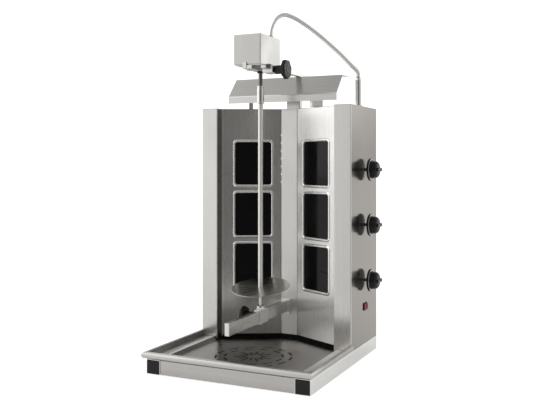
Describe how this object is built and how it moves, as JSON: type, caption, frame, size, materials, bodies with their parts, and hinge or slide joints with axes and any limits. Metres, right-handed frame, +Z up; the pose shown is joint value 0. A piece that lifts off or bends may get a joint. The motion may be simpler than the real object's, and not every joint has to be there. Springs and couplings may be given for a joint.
{
  "type": "vertical rotisserie broiler",
  "caption": "Upright electric broiler: a V-shaped wall of radiant windows heats meat on a motor-turned vertical spit above a slotted drip pan and a grease drawer.",
  "frame": {"origin": "centre of the base's underside", "axes": "+Z up, the machine's open front faces -Y, its controls are on the +X side"},
  "size_m": [0.5905, 0.617, 1.106],
  "materials": {
    "steel": "brushed",
    "bright_steel": "fine brushed, brighter",
    "dark_steel": "dark, worn",
    "black_plastic": "satin black",
    "black_glass": "polished black, opaque",
    "black_enamel": "black enamel",
    "ceramic_board": "matte fibre board",
    "motor_casting": "cast, grey",
    "red_plastic": "gloss red"
  },
  "bodies": {
    "frame": {"side_rail_left": "steel", "side_rail_right": "steel", "rail_cap_left": "black_plastic", "rail_cap_right": "black_plastic", "base_floor": "steel", "tray_frame": "steel", "side_panel_left": "steel", "side_panel_right": "steel", "rear_cover": "steel", "top_cover": "steel", "body_floor": "steel", "plinth": "black_enamel", "centre_column": "bright_steel", "heat_panel_left": "steel", "heat_panel_right": "steel", "window_glass_left_1": "black_glass", "window_glass_left_2": "black_glass", "window_glass_left_3": "black_glass", "window_glass_right_1": "black_glass", "window_glass_right_2": "black_glass", "window_glass_right_3": "black_glass", "heating_element_left_1": "ceramic_board", "heating_element_left_2": "ceramic_board", "heating_element_left_3": "ceramic_board", "heating_element_right_1": "ceramic_board", "heating_element_right_2": "ceramic_board", "heating_element_right_3": "ceramic_board", "terminal_block": "black_plastic", "mains_gland": "black_plastic", "energy_regulator_1": "black_plastic", "energy_regulator_2": "black_plastic", "energy_regulator_3": "black_plastic", "switch_housing": "black_plastic", "deflector": "steel", "deflector_leg_left": "steel", "deflector_leg_right": "steel", "arm_post": "steel", "upper_arm": "bright_steel", "conduit_post": "bright_steel", "conduit": "bright_steel", "lower_arm": "bright_steel"},
    "drawer": {"grease_drawer": "steel"},
    "pan": {"drip_pan": "steel"},
    "carriage": {"motor_carriage": "bright_steel", "motor_cover": "bright_steel", "gear_motor": "motor_casting", "shaft_bushing": "black_plastic", "conduit_gland": "bright_steel"},
    "spit": {"drive_shaft": "dark_steel", "spit_rod": "bright_steel", "meat_plate": "steel"},
    "sleeve": {"coupling_sleeve": "bright_steel"},
    "slider": {"lower_slider": "bright_steel", "bearing_cup": "bright_steel"},
    "upper_clamp": {"clamp_knob_upper": "black_plastic"},
    "lower_clamp": {"clamp_knob_lower": "black_plastic"},
    "knob_1": {"control_knob_1": "black_plastic"},
    "knob_2": {"control_knob_2": "black_plastic"},
    "knob_3": {"control_knob_3": "black_plastic"},
    "rocker": {"switch_rocker": "red_plastic"}
  },
  "joints": [
    {"name": "drawer_slide", "type": "slide", "parent": "frame", "child": "drawer", "axis": [0, -1, 0], "range_m": [0, 0.3]},
    {"name": "pan_lift", "type": "slide", "parent": "frame", "child": "pan", "axis": [0, 0, 1], "range_m": [0, 0.045]},
    {"name": "carriage_slide", "type": "slide", "parent": "frame", "child": "carriage", "axis": [0, 1, 0], "range_m": [-0.015, 0.06], "deforming": ["conduit"]},
    {"name": "slider_slide", "type": "slide", "parent": "frame", "child": "slider", "axis": [0, 1, 0], "range_m": [-0.015, 0.06]},
    {"name": "spit_spin", "type": "hinge", "parent": "carriage", "child": "spit", "pos_m": [-0.017, -0.024, 0.5], "axis": [0, 0, 1], "continuous": true},
    {"name": "sleeve_lift", "type": "slide", "parent": "spit", "child": "sleeve", "axis": [0, 0, 1], "range_m": [0, 0.035]},
    {"name": "upper_clamp_turn", "type": "hinge", "parent": "carriage", "child": "upper_clamp", "pos_m": [0.0566, -0.066, 0.915], "axis": [-1, 0, 0], "range_deg": [0, 360]},
    {"name": "lower_clamp_turn", "type": "hinge", "parent": "slider", "child": "lower_clamp", "pos_m": [-0.0281, -0.03, 0.144], "axis": [1, 0, 0], "range_deg": [0, 360]},
    {"name": "knob_1_turn", "type": "hinge", "parent": "frame", "child": "knob_1", "pos_m": [0.265, 0.1753, 0.607], "axis": [-1, 0, 0], "range_deg": [0, 300]},
    {"name": "knob_2_turn", "type": "hinge", "parent": "frame", "child": "knob_2", "pos_m": [0.265, 0.1753, 0.428], "axis": [-1, 0, 0], "range_deg": [0, 300]},
    {"name": "knob_3_turn", "type": "hinge", "parent": "frame", "child": "knob_3", "pos_m": [0.265, 0.1753, 0.249], "axis": [-1, 0, 0], "range_deg": [0, 300]},
    {"name": "rocker_turn", "type": "hinge", "parent": "frame", "child": "rocker", "pos_m": [0.261, 0.17, 0.164], "axis": [0, 0, 1], "range_deg": [0, 18]}
  ],
  "couplings": [
    {"joint": "slider_slide", "follows": "carriage_slide", "ratio": 1}
  ]
}
